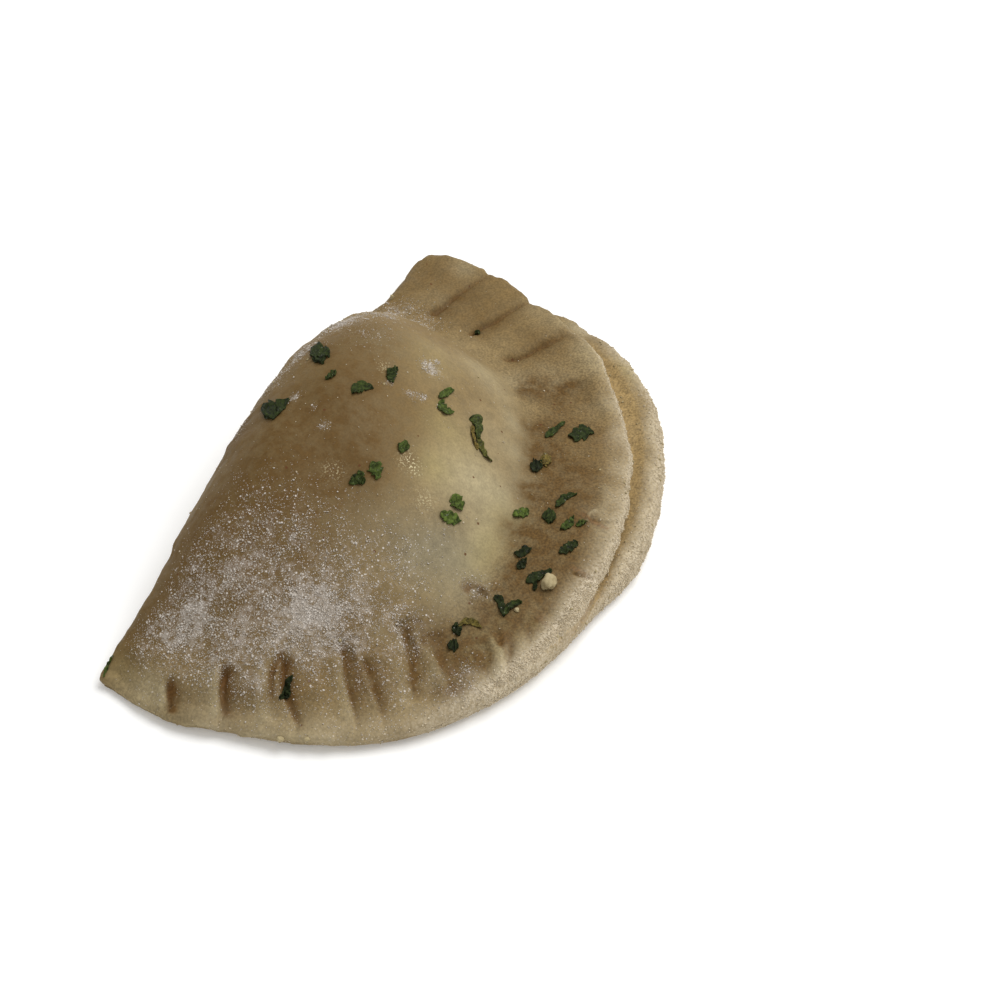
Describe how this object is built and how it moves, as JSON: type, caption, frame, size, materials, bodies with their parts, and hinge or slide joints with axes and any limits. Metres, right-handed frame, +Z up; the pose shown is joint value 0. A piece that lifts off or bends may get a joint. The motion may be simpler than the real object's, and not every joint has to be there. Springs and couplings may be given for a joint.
{
  "type": "unbaked empanada",
  "caption": "Half-moon filled pastry of raw floured dough: plump fold, crimped double rim that fans open on one side, dried parsley flakes on top.",
  "frame": {"origin": "middle of the bounding box, on the flat underside", "axes": "+X along the fold towards the corner whose rim leaves fan open beside it, +Y from the crimped rim towards the fold, +Z up"},
  "size_m": [0.1004, 0.0582, 0.0215],
  "materials": {
    "dough": "soft matt raw dough with a dusting of flour and dark green parsley flakes"
  },
  "bodies": {
    "root": {"empanada": "dough"}
  },
  "joints": []
}
